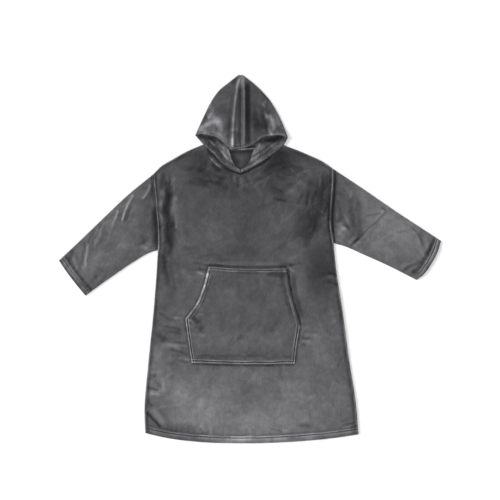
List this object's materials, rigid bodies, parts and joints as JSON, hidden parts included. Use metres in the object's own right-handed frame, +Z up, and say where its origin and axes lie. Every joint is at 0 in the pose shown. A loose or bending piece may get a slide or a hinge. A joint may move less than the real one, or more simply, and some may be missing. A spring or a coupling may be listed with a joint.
{
  "type": "wearable blanket hoodie",
  "caption": "Long plush hooded pullover laid flat, front up, with wide short sleeves, a folded-back hood and a kangaroo pocket.",
  "frame": {"origin": "middle of the underside of the whole garment's box, on the surface that it lies on", "axes": "+X towards the wearer's left sleeve, +Y towards the hood, +Z up out of the front"},
  "size_m": [1.317, 1.269, 0.0197],
  "materials": {
    "plush_grey": "matte plush with a brushed nap"
  },
  "bodies": {
    "root": {"back_panel": "plush_grey", "front_panel": "plush_grey", "sleeve_right": "plush_grey", "sleeve_left": "plush_grey", "hood_right": "plush_grey", "hood_left": "plush_grey", "hood_right_neck_stand": "plush_grey", "hood_left_neck_stand": "plush_grey", "kangaroo_pocket": "plush_grey"}
  },
  "joints": []
}
